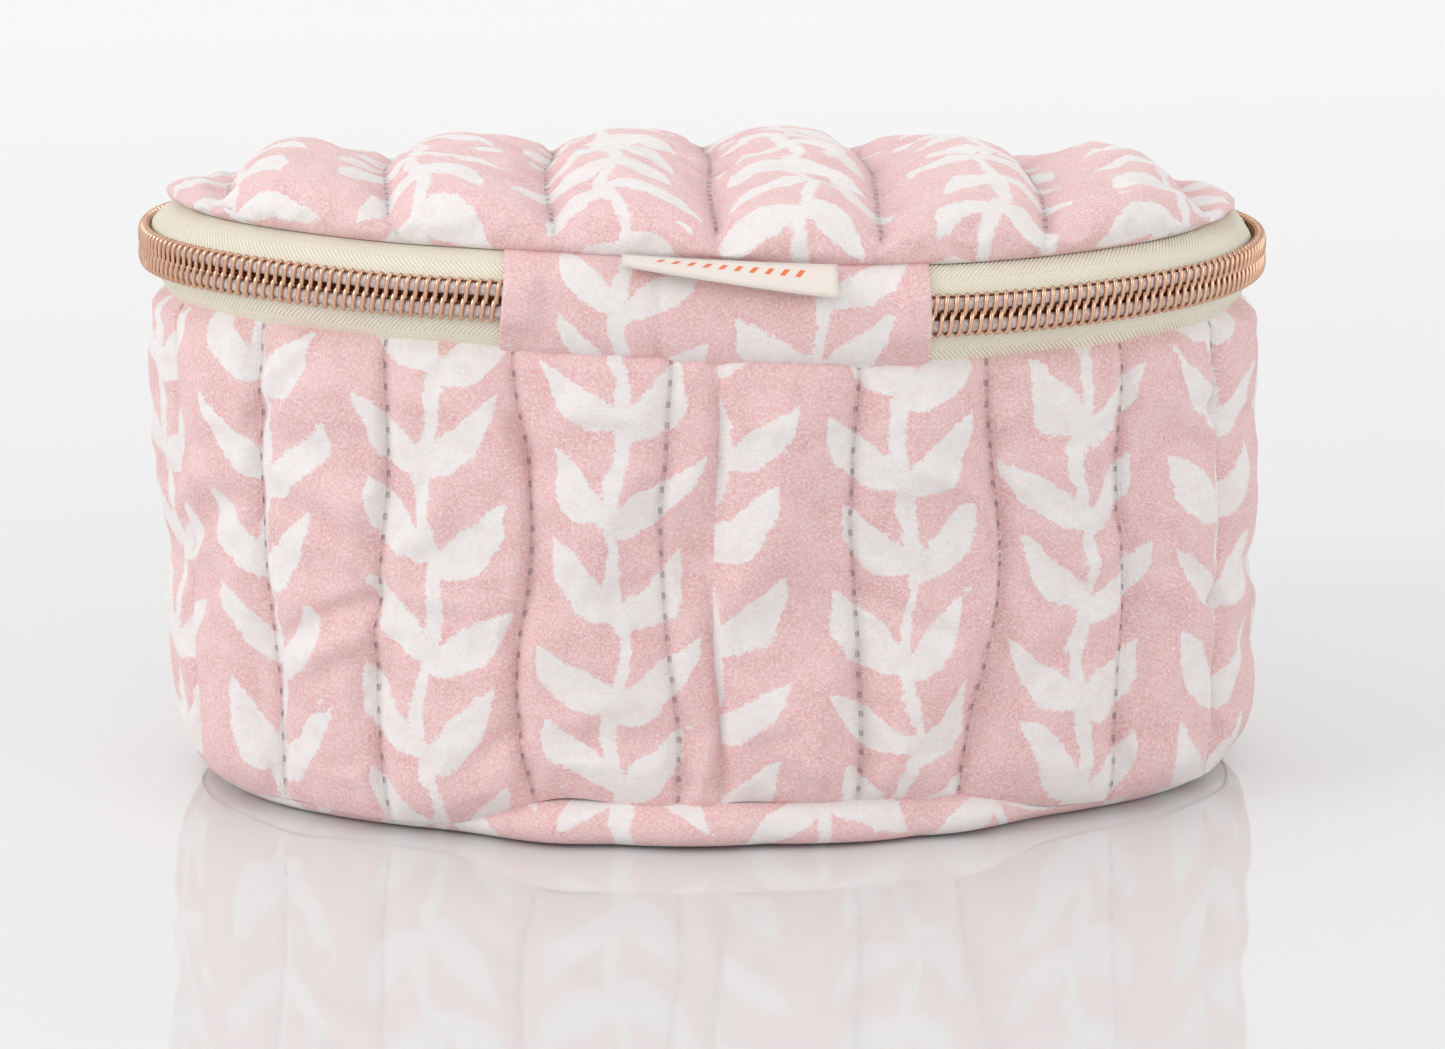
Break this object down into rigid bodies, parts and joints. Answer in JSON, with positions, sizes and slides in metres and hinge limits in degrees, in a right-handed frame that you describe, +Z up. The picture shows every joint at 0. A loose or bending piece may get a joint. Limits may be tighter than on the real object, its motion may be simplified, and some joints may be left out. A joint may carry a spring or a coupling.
{
  "type": "makeup bag",
  "caption": "Oval quilted cotton makeup bag with a padded lid that hinges on a cloth panel and closes with a coil zip run by a pair of facing sliders.",
  "frame": {"origin": "middle of the flat underside of the base", "axes": "+X along the long way of the oval, +Y towards the opening side where the sliders meet, -Y towards the hinge panel and label, +Z up"},
  "size_m": [0.1812, 0.1235, 0.1008],
  "materials": {
    "printed_cotton": "pink plain-weave cotton, block printed with off-white leafy vines",
    "lining_cotton": "plain-weave cream cotton",
    "wadding": "white cotton wadding",
    "thread": "matt cotton thread",
    "binding_tape": "folded cotton bias tape",
    "zip_tape": "cream polyester herringbone tape",
    "zip_coil": "metallised rose gold polyester coil",
    "slider_metal": "polished rose gold plating",
    "label_tape": null
  },
  "bodies": {
    "bag": {"wall_outer": "printed_cotton", "wall_wadding": "wadding", "wall_lining": "lining_cotton", "wall_quilting_thread": "thread", "base_outer": "printed_cotton", "base_wadding": "wadding", "base_lining": "lining_cotton", "lower_zip_tape": "zip_tape", "lower_zip_coil": "zip_coil", "hinge_panel_outer": "printed_cotton", "hinge_panel_wadding": "wadding", "hinge_panel_lining": "lining_cotton", "label": "label_tape", "base_seam_binding": "binding_tape", "rim_seam_binding": "binding_tape", "closing_seam_binding": "binding_tape"},
    "lid": {"lid_outer": "printed_cotton", "lid_wadding": "wadding", "lid_lining": "lining_cotton", "lid_quilting_thread": "thread", "upper_zip_tape": "zip_tape", "upper_zip_coil": "zip_coil", "lid_seam_binding": "binding_tape"},
    "left_slider": {"left_slider_body": "slider_metal", "left_slider_bail": "slider_metal"},
    "left_link": {"left_pull_link": "slider_metal"},
    "left_tab": {"left_pull_tab": "slider_metal"},
    "right_slider": {"right_slider_body": "slider_metal", "right_slider_bail": "slider_metal"},
    "right_link": {"right_pull_link": "slider_metal"},
    "right_tab": {"right_pull_tab": "slider_metal"}
  },
  "joints": [
    {"name": "lid_hinge", "type": "hinge", "parent": "bag", "child": "lid", "pos_m": [0, -0.0585, 0.085], "axis": [1, 0, 0], "range_deg": [0, 175], "deforming": ["hinge_panel_outer", "hinge_panel_wadding", "hinge_panel_lining", "label"]},
    {"name": "right_slider_travel", "type": "hinge", "parent": "bag", "child": "right_slider", "pos_m": [0, -0.06532, 0.085], "axis": [0, 0, -1], "range_deg": [0, 28]},
    {"name": "left_slider_travel", "type": "hinge", "parent": "bag", "child": "left_slider", "pos_m": [0, -0.06532, 0.085], "axis": [0, 0, 1], "range_deg": [0, 28]},
    {"name": "right_link_swing", "type": "hinge", "parent": "right_slider", "child": "right_link", "pos_m": [0.00844, 0.06136, 0.08433], "axis": [-0.0417, -0.9991, 0], "range_deg": [-8, 90]},
    {"name": "left_link_swing", "type": "hinge", "parent": "left_slider", "child": "left_link", "pos_m": [-0.00844, 0.06136, 0.08433], "axis": [-0.0417, 0.9991, 0], "range_deg": [-8, 90]},
    {"name": "right_tab_lift", "type": "hinge", "parent": "right_link", "child": "right_tab", "pos_m": [0.00844, 0.06136, 0.07733], "axis": [0.9991, -0.0417, 0], "range_deg": [0, 130]},
    {"name": "left_tab_lift", "type": "hinge", "parent": "left_link", "child": "left_tab", "pos_m": [-0.00844, 0.06136, 0.07733], "axis": [0.9991, 0.0417, 0], "range_deg": [0, 130]}
  ]
}
